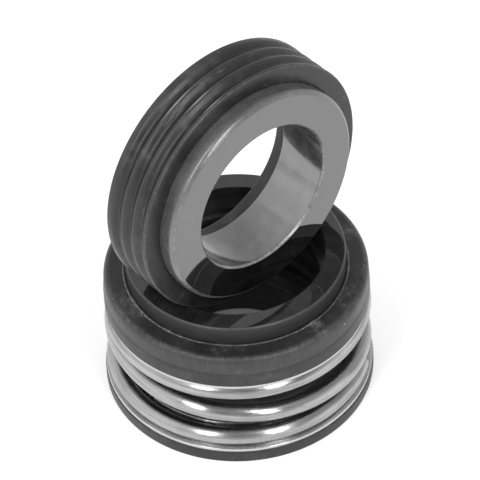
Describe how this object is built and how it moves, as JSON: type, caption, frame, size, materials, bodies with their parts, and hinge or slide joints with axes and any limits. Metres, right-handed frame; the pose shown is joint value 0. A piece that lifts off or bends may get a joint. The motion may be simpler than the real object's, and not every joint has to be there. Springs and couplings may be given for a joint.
{
  "type": "mechanical seal",
  "caption": "Rubber bellows mechanical shaft seal: a coil-sprung rotating head with a polished ring face, and a fixed ceramic ring in a ribbed rubber cup standing on it.",
  "frame": {"origin": "centre of the head's foot flange, on its underside", "axes": "+Z along the head's axis, from its foot to its polished face; the seat's axis is turned 39.7 degrees from -Y towards +X, and its face is tilted up by 1.1 degrees"},
  "size_m": [0.034, 0.034, 0.0501],
  "materials": {
    "bellows_rubber": "moulded, satin",
    "cup_rubber": "moulded, satin",
    "collar_steel": "stamped sheet",
    "spring_steel": "drawn wire",
    "face_carbide": "lapped and polished face",
    "seat_ceramic": "lapped and polished face"
  },
  "bodies": {
    "foot": {"bellows": "bellows_rubber", "drive_collar": "collar_steel", "spring": "spring_steel"},
    "head": {"head_collar": "collar_steel", "face_ring": "face_carbide", "seat_ring": "seat_ceramic", "seat_cup": "cup_rubber"}
  },
  "joints": [
    {"name": "head_slide", "type": "slide", "parent": "foot", "child": "head", "axis": [0, 0, 1], "range_m": [-0.0025, 0], "stiffness_N_per_m": 5000, "deforming": ["spring", "bellows"]}
  ]
}
